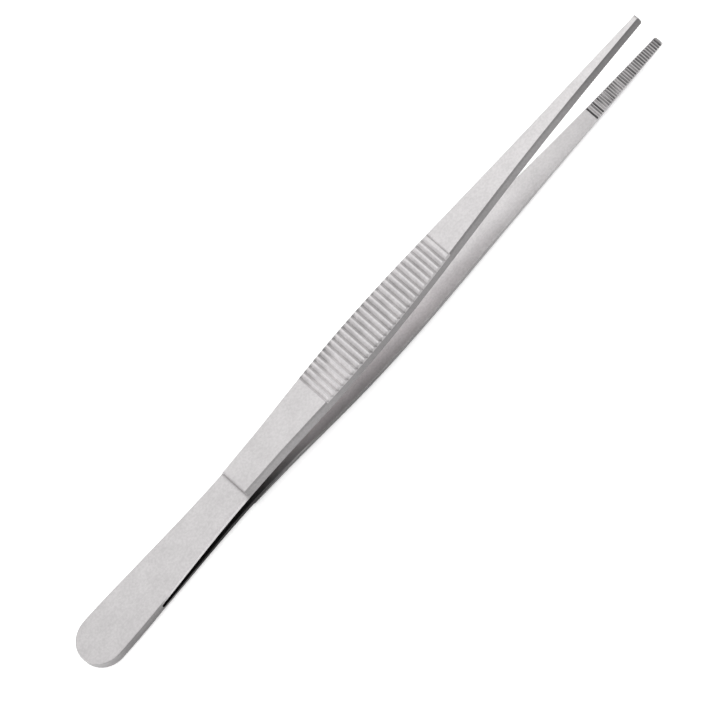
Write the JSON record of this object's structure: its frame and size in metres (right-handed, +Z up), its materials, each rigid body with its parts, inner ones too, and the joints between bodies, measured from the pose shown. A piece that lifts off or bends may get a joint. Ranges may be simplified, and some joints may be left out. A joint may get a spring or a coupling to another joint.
{
  "type": "thumb forceps",
  "caption": "Straight thumb forceps: slim spring arms joined at a flat round heel, with cross-ridged finger grips and finely serrated slender jaws.",
  "frame": {"origin": "centre of the bounding box, on the table that the lower arm's outer face lies on", "axes": "+X from the heel to the tips, +Y across the blades, +Z up from the lower arm to the upper arm"},
  "size_m": [0.1452, 0.0098, 0.0126],
  "materials": {
    "satin_steel": "satin ground stainless steel"
  },
  "bodies": {
    "root": {"upper_arm": "satin_steel", "lower_arm": "satin_steel"}
  },
  "joints": []
}
